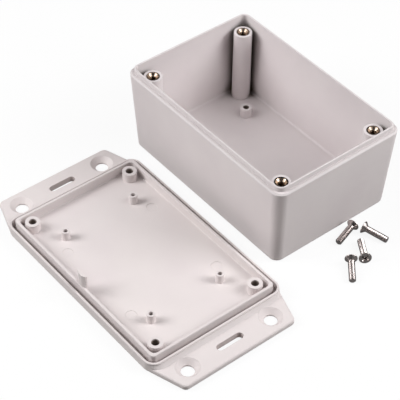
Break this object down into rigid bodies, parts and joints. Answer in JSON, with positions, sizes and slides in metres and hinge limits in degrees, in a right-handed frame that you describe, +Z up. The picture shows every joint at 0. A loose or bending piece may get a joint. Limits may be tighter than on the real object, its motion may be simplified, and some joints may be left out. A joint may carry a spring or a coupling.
{
  "type": "abs enclosure",
  "caption": "Moulded ABS box with corner inserts, its flanged lid lying beside it inner face up, and loose countersunk lid screws.",
  "frame": {"origin": "centre of the box's underside, on the surface that everything rests on", "axes": "+Z up, out of the box's open side; X along the long side of box and lid, towards the screws; the lid lies beside the box on the -Y side"},
  "size_m": [0.153, 0.168, 0.0514],
  "materials": {
    "abs_box": "fine moulded satin, light warm grey",
    "abs_lid": "fine moulded satin, light warm grey",
    "insert_brass": "turned",
    "screw_steel": "bright nickel plated"
  },
  "bodies": {
    "root": {"box": "abs_box", "flanged_lid": "abs_lid", "insert_1": "insert_brass", "insert_2": "insert_brass", "insert_3": "insert_brass", "insert_4": "insert_brass", "screw_1": "screw_steel", "screw_2": "screw_steel", "screw_3": "screw_steel", "screw_4": "screw_steel"}
  },
  "joints": []
}
